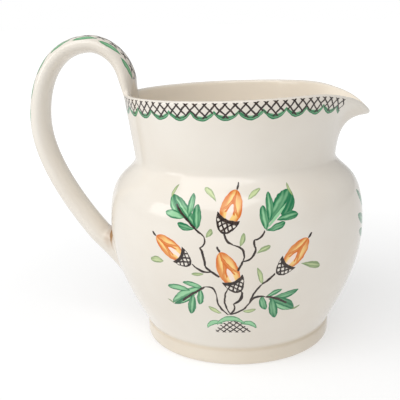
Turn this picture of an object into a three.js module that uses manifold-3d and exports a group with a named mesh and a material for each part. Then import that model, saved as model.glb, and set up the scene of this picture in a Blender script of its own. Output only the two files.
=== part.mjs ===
// A glazed earthenware pitcher: a full round belly on a low turned foot, a neck that flares to
// the rim, a pulled spout and a high looped strap handle. All of it is one fired piece.
// Millimetres, +Z up. The origin is the centre of the flat underside, on the axis of the belly.
// The spout points along +X and the handle along -X.

import * as THREE from 'three';
import { ParametricGeometry } from 'three/addons/geometries/ParametricGeometry.js';
import { mergeVertices } from 'three/addons/utils/BufferGeometryUtils.js';
import Module from 'manifold-3d';

const wasm = await Module();
wasm.setup();

const { lerp, smoothstep, degToRad, radToDeg } = THREE.MathUtils;

// Foot
const footRadius = 55.7;
const footHeight = 10;
const footEdgeRounding = 2.4;
const grooveDepth = 1.1;          // of the crease between the foot and the belly
const grooveHalfWidth = 1;

// Belly
const bellyRadius = 75;
const bellyLowerHeight = 59.6;    // from the foot up to the widest ring
const bellyUpperHeight = 39.1;    // from the widest ring up to the shoulder line
const bellyFootSlope = 13.4;      // degrees outward from vertical where it leaves the foot

// Shoulder line, neck and rim
const shoulderRadius = 58.5;
const shoulderSlope = 30.1;       // degrees inward from vertical where the belly meets the neck
const neckHeight = 38.8;
const neckFlare = 5.1;            // how much wider the rim is than the shoulder line
const rimTilt = 0.6;              // the rim stands this much higher at the spout, lower behind

// Walls
const wallThickness = 4.4;
const rimThickness = 3.5;
const floorThickness = 8;
const floorCornerWidth = 17.7;    // of the curve inside between the flat floor and the wall

// Spout
const spoutReach = 16;            // of its tip beyond the crown of the round rim
const spoutDroop = 14.4;          // of its tip below the rim
const spoutRise = 3.3;            // above the shoulder line, where the neck begins to lean out
const spoutSpread = 23;           // degrees round the neck over which the lip is drawn out
const beakSpread = 8.5;           // degrees of the narrow beak at its middle
const beakInReach = 0.24;         // the beak's part of the reach and of the droop
const beakInDroop = 0.41;
const spoutTipSlope = 86;         // degrees from vertical of the wall at the tip

// Handle: its places are on the middle line of the strap
const loopRise = 27.6;            // of its top above the rim
const loopTopSetback = 20.6;      // of its top behind the rim
const loopReach = 42.7;           // of its furthest point behind the belly
const loopReachDrop = 17.9;       // of its furthest point below the rim
const bendSetback = 7.4;          // behind the belly, where it turns in to meet it
const bendDrop = 12.7;            // of that place below the belly's widest ring
const bendSlope = 40;             // degrees from vertical at which it comes in there
const tailRise = 7;               // above the foot, where its pressed-down tail ends
const tailSlope = 28;
const rootDepth = 13;             // how far its upper end runs down into the neck's wall
const strapWidth = 19;
const strapThickness = 10.2;
const strapLowerWidth = 21;
const strapLowerThickness = 12.6;
const rootFlare = 3.5;            // extra width where the strap meets the rim
const buriedThickness = 1.5;      // of its two ends, which lie inside the wall

const rootFlareEnd = 0.45;        // share of the rise at which that extra width has gone
const tailNarrowing = 1 / 3;      // share of its width that the tail loses
const tailThinning = 1.6;         // above 1, the tail keeps its thickness until near its end

// How far each curve of the wall and the strap keeps the slopes of its two ends, as shares of
// the straight distance between them
const holds = {
  bellyLower: [0.08, 0.46],
  bellyUpper: [0.775, 0.295],
  hollowLower: [0.2, 0.42],
  hollowUpper: [0.75, 0.295],
  neck: [0.5, 0.42],
  root: [0.3, 0.3],
  rise: [0.61, 0.18],
  fall: [0.42, 0.38],
  back: [0.347, 0.178],
  tail: [0.3, 0.25],
};

// Facets
const facetsAround = 64;
const facetCrowding = 0.45;       // draws the facets together towards the spout
const facetsAroundStrap = 14;
const stepsUpWall = {
  bellyLower: 8,
  bellyUpper: 9,
  neckOutside: 8,
  neckInside: 6,
  hollowUpper: 5,
  hollowLower: 6,
};
const stepsAlongStrap = { root: 2, rise: 7, fall: 10, back: 8, tail: 6 };
const footEdgeSlopes = [180, 150, 120, 90];
const lipTurns = [45, 0, -45];
const halvings = 30;              // of the search for a height on the belly

const glazeColour = 0xe9e3d8;

const bellyHeight = footHeight + bellyLowerHeight;
const shoulderHeight = bellyHeight + bellyUpperHeight;
const rimRadius = shoulderRadius + neckFlare;
const rimHeight = shoulderHeight + neckHeight;
const neckSlope = radToDeg(Math.atan2(neckFlare, neckHeight));
const spoutStart = shoulderHeight + spoutRise;

function at(radius, height) {
  return new THREE.Vector2(radius, height);
}

// A unit step in the outline's plane, given in degrees outward from straight up.
function heading(slope) {
  return at(Math.sin(degToRad(slope)), Math.cos(degToRad(slope)));
}

// A cubic curve that leaves its first point and reaches its last one along given slopes.
function sweep(from, fromSlope, to, toSlope, [fromHold, toHold]) {
  const distance = from.distanceTo(to);
  const leaving = from.clone().addScaledVector(heading(fromSlope), distance * fromHold);
  const arriving = to.clone().addScaledVector(heading(toSlope), -distance * toHold);
  return new THREE.CubicBezierCurve(from, leaving, arriving, to);
}

// The neck wall's radius at a height, a given depth inside its outer face, without the spout.
function neckRadius(height, depth) {
  return shoulderRadius + (height - shoulderHeight) * neckFlare / neckHeight - depth;
}

function footOutline() {
  const corner = at(footRadius - footEdgeRounding, footEdgeRounding);
  const points = [at(0, 0)];
  for (const slope of footEdgeSlopes) {
    points.push(corner.clone().addScaledVector(heading(slope), footEdgeRounding));
  }
  points.push(at(footRadius, footHeight - grooveHalfWidth));
  points.push(at(footRadius - grooveDepth, footHeight));
  return points;
}

function bellyOutline() {
  const foot = at(footRadius, footHeight + grooveHalfWidth);
  const widest = at(bellyRadius, bellyHeight);
  const shoulder = at(shoulderRadius, shoulderHeight);
  return {
    lower: sweep(foot, bellyFootSlope, widest, 0, holds.bellyLower),
    upper: sweep(widest, 0, shoulder, -shoulderSlope, holds.bellyUpper),
  };
}

function hollowOutline() {
  const floor = at(footRadius - floorCornerWidth, floorThickness);
  const widest = at(bellyRadius - wallThickness, bellyHeight);
  const shoulder = at(shoulderRadius - wallThickness, shoulderHeight + wallThickness / 4);
  return {
    lower: sweep(floor, 90, widest, 0, holds.hollowLower),
    upper: sweep(widest, 0, shoulder, -shoulderSlope / 2, holds.hollowUpper),
  };
}

const foot = footOutline();
const belly = bellyOutline();
const hollow = hollowOutline();

function fallsOff(angle, spread) {
  return Math.exp(-((angle / degToRad(spread)) ** 2));
}

function drawnOut(angle, beakShare) {
  return (1 - beakShare) * fallsOff(angle, spoutSpread) + beakShare * fallsOff(angle, beakSpread);
}

// The middle of the lip's rounding and the slope of the wall under it, at an angle from the spout.
function lipAt(angle) {
  const slope = lerp(neckSlope, spoutTipSlope, fallsOff(angle, spoutSpread));
  const crown = at(
    rimRadius - rimThickness / 2 + spoutReach * drawnOut(angle, beakInReach),
    rimHeight + rimTilt * Math.cos(angle) - spoutDroop * drawnOut(angle, beakInDroop),
  );
  return { slope, middle: crown.addScaledVector(heading(slope), -rimThickness / 2) };
}

function lipRounding(lip) {
  return lipTurns.map((turn) => (
    lip.middle.clone().addScaledVector(heading(lip.slope + turn), rimThickness / 2)
  ));
}

// The outer (side 90) or inner (side -90) face of the neck from the spout's start up to the lip.
function neckFace(lip, start, side) {
  const end = lip.middle.clone().addScaledVector(heading(lip.slope + side), rimThickness / 2);
  return sweep(start, neckSlope, end, lip.slope, holds.neck);
}

// The closed outline of the wall at one angle: from the middle of the underside up the outside,
// over the lip and down the inside to the middle of the floor.
function wallOutline(angle) {
  const lip = lipAt(angle);
  const outerStart = at(neckRadius(spoutStart, 0), spoutStart);
  const innerStart = at(neckRadius(spoutStart, wallThickness), spoutStart + wallThickness / 4);
  return [
    ...foot,
    ...belly.lower.getPoints(stepsUpWall.bellyLower),
    ...belly.upper.getPoints(stepsUpWall.bellyUpper).slice(1),
    ...neckFace(lip, outerStart, 90).getPoints(stepsUpWall.neckOutside),
    ...lipRounding(lip),
    ...neckFace(lip, innerStart, -90).getPoints(stepsUpWall.neckInside).reverse(),
    ...hollow.upper.getPoints(stepsUpWall.hollowUpper).reverse(),
    ...hollow.lower.getPoints(stepsUpWall.hollowLower).reverse().slice(1),
    at(0, floorThickness),
  ];
}

// A closed surface from a grid of points, with its shared points joined and empty facets dropped.
function closedGrid(pointAt, around, along) {
  const place = (u, v, target) => (
    target.copy(pointAt(Math.round(u * around) % around, Math.round(v * along)))
  );
  const grid = new ParametricGeometry(place, around, along);
  grid.deleteAttribute('normal');
  grid.deleteAttribute('uv');
  const joined = mergeVertices(grid);
  const corners = joined.index.array;
  const kept = [];
  for (let first = 0; first < corners.length; first += 3) {
    const [a, b, c] = corners.slice(first, first + 3);
    if (a !== b && b !== c && c !== a) kept.push(a, b, c);
  }
  joined.setIndex(kept);
  return joined;
}

function bodySurface() {
  const outlines = [];
  for (let facet = 0; facet < facetsAround; facet++) {
    const even = 2 * Math.PI * (facet / facetsAround - 0.5);
    const angle = even - facetCrowding * Math.sin(even);
    outlines.push({ angle, points: wallOutline(angle) });
  }
  const pointAt = (facet, step) => {
    const { angle, points } = outlines[facet];
    const { x: radius, y: height } = points[step];
    return new THREE.Vector3(radius * Math.cos(angle), radius * Math.sin(angle), height);
  };
  return closedGrid(pointAt, facetsAround, outlines[0].points.length - 1);
}

// The place on the lower belly's outer face at a height.
function bellyFaceAt(height) {
  let low = 0;
  let high = 1;
  for (let halving = 0; halving < halvings; halving++) {
    const middle = (low + high) / 2;
    if (belly.lower.getPoint(middle).y < height) low = middle;
    else high = middle;
  }
  return belly.lower.getPoint(low);
}

// The middle line of the strap, in stretches: its root inside the neck's wall, up to the loop's
// top, over to its furthest point, back to the belly, and its tail down the belly's wall.
// Radii run towards the handle, so the line is turned round to -X when its surface is made.
function strapStretches() {
  const rootHeight = rimHeight - rootDepth;
  const root = at(neckRadius(rootHeight, wallThickness / 2), rootHeight);
  const rim = at(rimRadius - rimThickness / 2, rimHeight);
  const top = at(rimRadius + loopTopSetback, rimHeight + loopRise);
  const furthest = at(bellyRadius + loopReach, rimHeight - loopReachDrop);
  const bend = at(bellyRadius + bendSetback, bellyHeight - bendDrop);
  const tail = bellyFaceAt(footHeight + tailRise).sub(at(wallThickness / 2, 0));
  return {
    root: sweep(root, neckSlope, rim, 0, holds.root),
    rise: sweep(rim, 0, top, 90, holds.rise),
    fall: sweep(top, 90, furthest, 180, holds.fall),
    back: sweep(furthest, 180, bend, 180 + bendSlope, holds.back),
    tail: sweep(bend, 180 + bendSlope, tail, 180 + tailSlope, holds.tail),
  };
}

// How wide and thick the strap is at a share of the way along one of its stretches.
function strapSize(stretch, share) {
  const grown = (amount) => ({
    width: lerp(strapWidth, strapLowerWidth, amount),
    thickness: lerp(strapThickness, strapLowerThickness, amount),
  });
  switch (stretch) {
    case 'root':
      return { width: strapWidth + rootFlare, thickness: lerp(buriedThickness, strapThickness, share) };
    case 'rise':
      return {
        width: strapWidth + rootFlare * (1 - smoothstep(share, 0, rootFlareEnd)),
        thickness: strapThickness,
      };
    case 'fall':
      return grown(share / 2);
    case 'back':
      return grown((1 + share) / 2);
    default:
      return {
        width: strapLowerWidth * (1 - tailNarrowing * share ** 3),
        thickness: lerp(strapLowerThickness, buriedThickness, share ** tailThinning),
      };
  }
}

// An oval strap swept along its line, which thins out inside the wall at both ends.
function strapSurface() {
  const stations = [];
  for (const [stretch, line] of Object.entries(strapStretches())) {
    const steps = stepsAlongStrap[stretch];
    for (let step = stations.length ? 1 : 0; step <= steps; step++) {
      const share = step / steps;
      stations.push({
        middle: line.getPoint(share),
        tangent: line.getTangent(share),
        ...strapSize(stretch, share),
      });
    }
  }
  const capped = [{ ...stations[0], closed: true }, ...stations, { ...stations.at(-1), closed: true }];
  const pointAt = (facet, step) => {
    const { middle, tangent, width, thickness, closed } = capped[step];
    const turn = 2 * Math.PI * facet / facetsAroundStrap;
    const across = closed ? 0 : Math.sin(turn) * width / 2;
    const out = closed ? 0 : Math.cos(turn) * thickness / 2;
    return new THREE.Vector3(-(middle.x - tangent.y * out), across, middle.y + tangent.x * out);
  };
  return closedGrid(pointAt, facetsAroundStrap, capped.length - 1);
}

function solidOf(surface) {
  return new wasm.Manifold(new wasm.Mesh({
    numProp: 3,
    vertProperties: new Float32Array(surface.attributes.position.array),
    triVerts: new Uint32Array(surface.index.array),
  }));
}

function geometryOf(solid) {
  const mesh = solid.getMesh();
  const geometry = new THREE.BufferGeometry();
  geometry.setAttribute('position', new THREE.BufferAttribute(mesh.vertProperties, 3));
  geometry.setIndex(new THREE.BufferAttribute(mesh.triVerts, 1));
  geometry.computeVertexNormals();
  return geometry;
}

function pitcherMesh() {
  const solid = solidOf(bodySurface()).add(solidOf(strapSurface()));
  const glaze = new THREE.MeshStandardMaterial({ color: glazeColour, roughness: 0.15, metalness: 0 });
  const mesh = new THREE.Mesh(geometryOf(solid), glaze);
  mesh.name = 'pitcher';
  return mesh;
}

const pitcher = new THREE.Group();
pitcher.add(pitcherMesh());

export default pitcher;
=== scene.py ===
# %% [markdown]
# # A hand-painted earthenware pitcher
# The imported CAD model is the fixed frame: its box, its node and its place stay as they are. This
# script gives that node its visible skin, as one clay mesh, and then the glaze and the painting.
# Lengths are written in millimetres, as a potter would measure them, and one factor turns them
# into Blender's metres.

# %% Load the frame
import math

import bmesh
import bpy
from mathutils import Matrix, Vector


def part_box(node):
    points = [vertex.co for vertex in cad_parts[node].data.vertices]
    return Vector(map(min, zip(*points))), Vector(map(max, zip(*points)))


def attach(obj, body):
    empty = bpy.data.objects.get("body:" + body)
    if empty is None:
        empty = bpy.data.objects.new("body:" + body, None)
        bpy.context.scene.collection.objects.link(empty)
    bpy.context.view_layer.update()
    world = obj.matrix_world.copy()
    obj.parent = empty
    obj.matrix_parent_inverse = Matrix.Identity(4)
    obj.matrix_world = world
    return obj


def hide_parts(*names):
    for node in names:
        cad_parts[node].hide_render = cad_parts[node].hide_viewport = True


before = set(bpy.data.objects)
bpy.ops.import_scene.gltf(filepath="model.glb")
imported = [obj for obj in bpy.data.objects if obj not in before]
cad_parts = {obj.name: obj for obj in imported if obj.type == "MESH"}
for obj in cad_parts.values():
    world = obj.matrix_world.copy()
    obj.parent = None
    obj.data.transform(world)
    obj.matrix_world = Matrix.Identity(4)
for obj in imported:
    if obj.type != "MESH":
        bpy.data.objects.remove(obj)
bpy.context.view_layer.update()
MM = 0.001
low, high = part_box("pitcher")
print("pitcher in the frame, mm:", [round(v / MM, 1) for v in (*low, *high)])

# %% [markdown]
# ## Camera
# The photo looks at the side of the pitcher from a little above, with the spout turned a few
# degrees towards the viewer. The camera is placed by how far it stands from the pitcher's own
# axis, how far it is turned round it, how much it looks down and how much it is tilted. Working
# in a small frame of its own, right, up and back, keeps the matrix easy to read.

# %% Camera
SPOUT_TURN = 8            # degrees that the spout is turned towards the camera
CAMERA_PLACE = (35.2, -404.2, 185.8)
CAMERA_LOOKS_DOWN = 14.444
CAMERA_ROLL = 1.769
LENS_MM = 62.38
SENSOR_MM = 36


def camera_matrix():
    """A camera's own right, up and back directions, as the columns of its matrix."""
    turn = math.radians(SPOUT_TURN)
    down = math.radians(CAMERA_LOOKS_DOWN)
    roll = math.radians(CAMERA_ROLL)
    level = Vector((-math.sin(turn), math.cos(turn), 0))
    sideways = Vector((math.cos(turn), math.sin(turn), 0))
    upright = Vector((0, 0, 1))
    forward = math.cos(down) * level - math.sin(down) * upright
    up = math.sin(down) * level + math.cos(down) * upright
    right = math.cos(roll) * sideways - math.sin(roll) * up
    up = math.sin(roll) * sideways + math.cos(roll) * up
    matrix = Matrix((right, up, -forward)).transposed().to_4x4()
    matrix.translation = Vector(CAMERA_PLACE) * MM
    return matrix


lens = bpy.data.cameras.new("camera")
lens.lens = LENS_MM
lens.sensor_width = SENSOR_MM
lens.sensor_fit = "AUTO"
lens.clip_start = 0.01
camera = bpy.data.objects.new("camera", lens)
bpy.context.collection.objects.link(camera)
camera.matrix_world = camera_matrix()
bpy.context.scene.camera = camera
print("camera at", [round(v, 3) for v in camera.location])

# %% [markdown]
# ## Profile
# A thrown pot is a profile turned round an axis. The profile is drawn as a few smooth curves,
# each leaving one place and reaching the next along a known slope, as a potter's rib would. The
# sizes are those of the solid model, so the skin lies where the solid lies. Degrees are measured
# outward from straight up.

# %% Profile sizes
BELLY_RADIUS = high.y / MM
FOOT_RADIUS = 55.7
FOOT_HEIGHT = 10
FOOT_EDGE = 2.4
GROOVE_DEPTH = 1.1
GROOVE_HALF = 1
BELLY_HEIGHT = 69.6
BELLY_FOOT_SLOPE = 13.4
SHOULDER_RADIUS = 58.5
SHOULDER_HEIGHT = 108.7
SHOULDER_SLOPE = 30.1
RIM_RADIUS = 63.6
RIM_HEIGHT = 147.5
RIM_TILT = 0.6
WALL = 4.4
RIM_WALL = 3.5
FLOOR = 8
FLOOR_CORNER = 17.7
NECK_SLOPE = math.degrees(math.atan2(RIM_RADIUS - SHOULDER_RADIUS, RIM_HEIGHT - SHOULDER_HEIGHT))
SPOUT_START = 112
SPOUT_REACH = 16
SPOUT_DROOP = 14.4
SPOUT_SPREAD = 23
BEAK_SPREAD = 8.5
BEAK_IN_REACH = 0.24
BEAK_IN_DROOP = 0.41
SPOUT_TIP_SLOPE = 86
CURVE_STEPS = 400         # how finely a curve is measured before places are set on it
HOLDS = {
    # how far each curve keeps its first and its last direction, as shares of its reach
    "belly_low": (0.08, 0.46),
    "belly_high": (0.775, 0.295),
    "neck": (0.5, 0.42),
    "hollow_high": (0.75, 0.295),
    "hollow_low": (0.2, 0.42),
}
print("neck leans out by", round(NECK_SLOPE, 1), "degrees")

# %% Curves of the profile


def heading(slope):
    """A unit step in the profile's plane, as (outward, up)."""
    return Vector((math.sin(math.radians(slope)), math.cos(math.radians(slope))))


def sweep(start, start_slope, end, end_slope, holds):
    """A cubic curve between two places, as a function of the share of the way along it."""
    a = Vector(start)
    d = Vector(end)
    reach = (d - a).length
    b = a + heading(start_slope) * reach * holds[0]
    c = d - heading(end_slope) * reach * holds[1]

    def place(share):
        rest = 1 - share
        near_start = a * rest ** 3 + b * 3 * rest * rest * share
        return near_start + c * 3 * rest * share * share + d * share ** 3

    return place


def even_places(curve, count):
    """Places along a curve at equal distances, with both its ends."""
    fine = [curve(i / CURVE_STEPS) for i in range(CURVE_STEPS + 1)]
    travelled = [0]
    for before, after in zip(fine, fine[1:]):
        travelled.append(travelled[-1] + (after - before).length)
    places = []
    at = 0
    for step in range(count + 1):
        wanted = travelled[-1] * step / count
        while at < CURVE_STEPS - 1 and travelled[at + 1] < wanted:
            at += 1
        part = (wanted - travelled[at]) / (travelled[at + 1] - travelled[at])
        places.append(fine[at].lerp(fine[at + 1], min(part, 1)))
    return places


def falls_off(angle, spread):
    """1 at the spout, and smoothly down to 0 away from it."""
    return math.exp(-((angle / math.radians(spread)) ** 2))


def drawn_out(angle, beak_share):
    """How much of the spout's pull an angle gets: a wide pull, and a narrow one for the beak."""
    wide = (1 - beak_share) * falls_off(angle, SPOUT_SPREAD)
    return wide + beak_share * falls_off(angle, BEAK_SPREAD)


def neck_profile(angle, rows_outside, rows_inside):
    """The neck's wall at an angle from the spout: up its outer face, over the lip, down inside."""
    slope = NECK_SLOPE + (SPOUT_TIP_SLOPE - NECK_SLOPE) * falls_off(angle, SPOUT_SPREAD)
    crown = Vector((
        RIM_RADIUS - RIM_WALL / 2 + SPOUT_REACH * drawn_out(angle, BEAK_IN_REACH),
        RIM_HEIGHT + RIM_TILT * math.cos(angle) - SPOUT_DROOP * drawn_out(angle, BEAK_IN_DROOP),
    ))
    middle = crown - heading(slope) * RIM_WALL / 2
    lean = math.tan(math.radians(NECK_SLOPE))
    outer_start = (SHOULDER_RADIUS + (SPOUT_START - SHOULDER_HEIGHT) * lean, SPOUT_START)
    inner_start = (outer_start[0] - WALL, SPOUT_START + WALL / 4)
    outer_end = middle + heading(slope + 90) * RIM_WALL / 2
    inner_end = middle + heading(slope - 90) * RIM_WALL / 2
    outside = sweep(outer_start, NECK_SLOPE, outer_end, slope, HOLDS["neck"])
    inside = sweep(inner_start, NECK_SLOPE, inner_end, slope, HOLDS["neck"])
    lip = [middle + heading(slope + turn) * RIM_WALL / 2 for turn in (45, 0, -45)]
    return even_places(outside, rows_outside) + lip + even_places(inside, rows_inside)[::-1]


mouth = neck_profile(math.pi, 2, 2)
print("mouth's edge behind, mm:", [round(v, 1) for v in mouth[3]])

# %% [markdown]
# The whole wall is one closed line: under the foot, up the outside, over the lip and down the
# inside to the middle of the floor. The number of rows on each stretch is fixed, so that every
# later step can name a row by its number.

# %% Profile of the whole wall
ROWS = {"underside": 4, "foot": 3, "belly_low": 24, "belly_high": 15, "neck_out": 14,
        "neck_in": 11, "hollow_high": 8, "hollow_low": 12, "floor": 4}


def wall_profile():
    """The closed profile behind the handle, from under the foot to the middle of the floor, and
    the number of the first place of its neck."""
    corner = Vector((FOOT_RADIUS - FOOT_EDGE, FOOT_EDGE))
    places = [Vector((corner.x * i / ROWS["underside"], 0)) for i in range(ROWS["underside"])]
    places += [corner + heading(slope) * FOOT_EDGE for slope in (180, 150, 120, 90)]
    top = FOOT_HEIGHT - GROOVE_HALF
    for i in range(1, ROWS["foot"] + 1):
        places.append(Vector((FOOT_RADIUS, FOOT_EDGE + (top - FOOT_EDGE) * i / ROWS["foot"])))
    places.append(Vector((FOOT_RADIUS - GROOVE_DEPTH, FOOT_HEIGHT)))
    foot_top = (FOOT_RADIUS, FOOT_HEIGHT + GROOVE_HALF)
    widest = (BELLY_RADIUS, BELLY_HEIGHT)
    shoulder = (SHOULDER_RADIUS, SHOULDER_HEIGHT)
    lower = sweep(foot_top, BELLY_FOOT_SLOPE, widest, 0, HOLDS["belly_low"])
    places += even_places(lower, ROWS["belly_low"])
    upper = sweep(widest, 0, shoulder, -SHOULDER_SLOPE, HOLDS["belly_high"])
    places += even_places(upper, ROWS["belly_high"])[1:]
    neck_first = len(places)
    places += neck_profile(math.pi, ROWS["neck_out"], ROWS["neck_in"])
    hollow_widest = (BELLY_RADIUS - WALL, BELLY_HEIGHT)
    hollow_top = (SHOULDER_RADIUS - WALL, SHOULDER_HEIGHT + WALL / 4)
    floor_edge = (FOOT_RADIUS - FLOOR_CORNER, FLOOR)
    upper = sweep(hollow_widest, 0, hollow_top, -SHOULDER_SLOPE / 2, HOLDS["hollow_high"])
    places += even_places(upper, ROWS["hollow_high"])[::-1]
    lower = sweep(floor_edge, 90, hollow_widest, 0, HOLDS["hollow_low"])
    places += even_places(lower, ROWS["hollow_low"])[-2::-1]
    for i in range(ROWS["floor"] - 1, -1, -1):
        places.append(Vector((floor_edge[0] * i / ROWS["floor"], FLOOR)))
    return places, neck_first


profile, neck_first = wall_profile()
print("profile places:", len(profile), "neck from place", neck_first)

# %% [markdown]
# ## Body
# Spinning the profile round the axis makes the wall, inside and outside at once, with its true
# thickness. A plain spin spaces its columns evenly, but the spout and the handle need finer ones, so
# each column is then turned a little: columns gather towards the front and the back. Rows of the spun
# mesh are found again by the number of its place that each vertex carries, and columns by the angle at
# which they stand.

# %% Spin the wall
COLUMNS = 120
GATHER = 0.2              # how much the columns gather towards the spout and the handle
TOUCHING = 0.01 * MM      # vertices this close are one, and lie on the axis if this near it


def column_angle(column):
    """Where a column stands, in radians from the spout, with columns gathered at both ends."""
    even = 2 * math.pi * column / COLUMNS
    return even - GATHER * math.sin(2 * even)


def spin_wall(bm):
    """Spins the profile round Z and returns the vertices as rows[place][column]. Each vertex of
    the profile carries the number of its place, and spin copies it to all of its columns."""
    chain = [bm.verts.new((place.x * MM, 0, place.y * MM)) for place in profile]
    for number, vertex in enumerate(chain):
        vertex[row_mark] = number
    edges = [bm.edges.new(pair) for pair in zip(chain, chain[1:])]
    bmesh.ops.spin(bm, geom=chain + edges, cent=(0, 0, 0), axis=(0, 0, 1), dvec=(0, 0, 0),
                   angle=2 * math.pi, steps=COLUMNS, use_merge=True)
    bmesh.ops.remove_doubles(bm, verts=bm.verts, dist=TOUCHING)
    bmesh.ops.recalc_face_normals(bm, faces=bm.faces)
    rows = [[None] * COLUMNS for _ in profile]
    for vertex in bm.verts:
        row = rows[vertex[row_mark]]
        if math.hypot(vertex.co.x, vertex.co.y) < TOUCHING:
            row[:] = [vertex] * COLUMNS
            continue
        turn = math.atan2(vertex.co.y, vertex.co.x) / (2 * math.pi) * COLUMNS
        row[round(turn) % COLUMNS] = vertex
    return rows


body = bmesh.new()
row_mark = body.verts.layers.int.new("row")
strap_mark = body.verts.layers.int.new("strap")
along_mark = body.verts.layers.float.new("along")
across_mark = body.verts.layers.float.new("across")
pool_shade_mark = body.verts.layers.float.new("pool_shade")
inner_mark = body.verts.layers.float.new("inner")
spray, band, strap = [body.loops.layers.uv.new(name) for name in ("spray", "band", "strap")]
rows = spin_wall(body)
print("spun wall:", len(body.faces), "faces; rows complete:", all(None not in row for row in rows))

# %% [markdown]
# ## Spout
# The potter draws the lip out between two fingers while the clay is soft: the rim moves out and
# down, and the neck under it leans over. The same is done here to the spun mesh. Each column of
# the neck is moved to the neck's profile at its own angle, which changes only near the spout.

# %% Turn the columns and pull the spout
for number, row in enumerate(rows):
    for column, vertex in enumerate(row):
        radius = profile[number].x * MM
        angle = column_angle(column)
        vertex.co.x = radius * math.cos(angle)
        vertex.co.y = radius * math.sin(angle)

LIP_ROWS = 3              # rows that round the lip, between the two faces of the neck
neck_count = ROWS["neck_out"] + 1 + LIP_ROWS + ROWS["neck_in"] + 1
neck_rows = rows[neck_first:neck_first + neck_count]
for column in range(COLUMNS):
    angle = column_angle(column)
    from_spout = math.atan2(math.sin(angle), math.cos(angle))
    pulled = neck_profile(from_spout, ROWS["neck_out"], ROWS["neck_in"])
    for row, place in zip(neck_rows, pulled):
        row[column].co = Vector((place.x * math.cos(angle), place.x * math.sin(angle), place.y)) * MM
for number in range(neck_first + ROWS["neck_out"] + 1 + LIP_ROWS, len(rows)):
    for vertex in rows[number]:
        vertex[inner_mark] = 1
print("spout tip reaches", round(max(v.co.x for v in body.verts) / MM, 1), "mm")

# %% [markdown]
# ## Handle
# A strap handle is one pulled strip of clay, luted on at both ends and smoothed in with a wet
# finger. So it isn't a separate piece pushed into the wall: both of its ends flow into the body.
# The way taken here is to open a hole in the body's skin at each end, to draw the strap as a row
# of rings, and to bridge its end loops to the edges of the holes. All rings have as many
# vertices as a hole has, so the bridge is made of clean four-sided faces that shine smoothly.

# %% The strap's middle line
STRAP_WIDTH = 19
STRAP_THICKNESS = 10.2
STRAP_LOWER_WIDTH = 21
STRAP_LOWER_THICKNESS = 12.6
ROOT_FLARE = 3.5
ROOT_FLARE_END = 0.45
LOOP_TOP = (84.2, 175.1)
LOOP_FURTHEST = (117.7, 129.6)
BEND = (82.4, 56.9)
BEND_SLOPE = 220
TAIL_END = (54.6, 17)
TAIL_SLOPE = 208
TAIL_NARROWING = 1 / 3
TAIL_THINNING = 1.6
BURIED_THICKNESS = 1.5
NUDGE = 0.001             # a step along a line, as a share of it, for finding its direction

rim_middle = (RIM_RADIUS - RIM_WALL / 2, RIM_HEIGHT)
strap_lines = [
    ("rise", sweep(rim_middle, 0, LOOP_TOP, 90, (0.61, 0.18))),
    ("fall", sweep(LOOP_TOP, 90, LOOP_FURTHEST, 180, (0.42, 0.38))),
    ("back", sweep(LOOP_FURTHEST, 180, BEND, BEND_SLOPE, (0.347, 0.178))),
    ("tail", sweep(BEND, BEND_SLOPE, TAIL_END, TAIL_SLOPE, (0.3, 0.25))),
]


def mix(a, b, share):
    return a + (b - a) * share


def direction_at(line, share):
    """The direction of a line at a share of the way along it."""
    return (line(min(share + NUDGE, 1)) - line(max(share - NUDGE, 0))).normalized()


def smooth_step(share):
    """A smooth rise from 0 to 1."""
    share = min(max(share, 0), 1)
    return share * share * (3 - 2 * share)


def strap_size(stretch, share):
    """The strap's width and thickness at a share of the way along one of its stretches."""
    if stretch == "rise":
        flare = ROOT_FLARE * (1 - smooth_step(share / ROOT_FLARE_END))
        return STRAP_WIDTH + flare, STRAP_THICKNESS
    if stretch == "tail":
        width = STRAP_LOWER_WIDTH * (1 - TAIL_NARROWING * share ** 3)
        return width, mix(STRAP_LOWER_THICKNESS, BURIED_THICKNESS, share ** TAIL_THINNING)
    grown = share / 2 if stretch == "fall" else (1 + share) / 2
    width = mix(STRAP_WIDTH, STRAP_LOWER_WIDTH, grown)
    return width, mix(STRAP_THICKNESS, STRAP_LOWER_THICKNESS, grown)


def strap_station(stretch, line, share):
    """A matrix that puts a unit ring across the strap: its X across, its Y outward, its Z along."""
    place = line(share)
    tangent = direction_at(line, share)
    width, thickness = strap_size(stretch, share)
    across = Vector((0, 1, 0)) * width / 2
    out = Vector((tangent.y, 0, tangent.x)) * thickness / 2
    along = Vector((-tangent.x, 0, tangent.y))
    matrix = Matrix((across, out, along)).transposed().to_4x4()
    matrix.translation = Vector((-place.x, 0, place.y))
    return Matrix.Scale(MM, 4) @ matrix


FIRST_SHARE = 0.14        # of the rise, where the strap is clear of the rim
LAST_SHARE = 0.93         # of the way back, where it is still clear of the belly
STATION_STEPS = {"rise": 10, "fall": 16, "back": 20}
stations = []
for stretch, line in strap_lines[:3]:
    first = FIRST_SHARE if stretch == "rise" else 0
    last = LAST_SHARE if stretch == "back" else 1
    steps = STATION_STEPS[stretch]
    for step in range(0 if stretch == "rise" else 1, steps + 1):
        stations.append(strap_station(stretch, line, mix(first, last, step / steps)))
print("strap stations:", len(stations))

# %% [markdown]
# The lower end is pressed down the belly as a long tail that thins out into the wall. The columns
# behind the handle are moved out to the face that the tail would have there, and a soft maximum
# of the two faces gives the small fillet that a wet finger leaves.

# %% Raise the tail on the belly
FILLET = 1.6
HANDLE_COLUMN = COLUMNS // 2
TAIL_COLUMNS = 10
HOLE_TOP = 62             # height at which the strap's inner face reaches the belly
LIFT_FADE = 12            # the lift fades out over this height under that place
AWAY = 12                 # a depth at which the tail no longer lifts the wall
SIDE_DROP = 6             # how steeply the tail's sides drop to the wall
BELOW_TAIL = 3            # rows further than this below the tail's end stay as they are
HALVINGS = 30             # rounds of the search for the tail's face at a height
tail_line = strap_lines[3][1]


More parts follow.
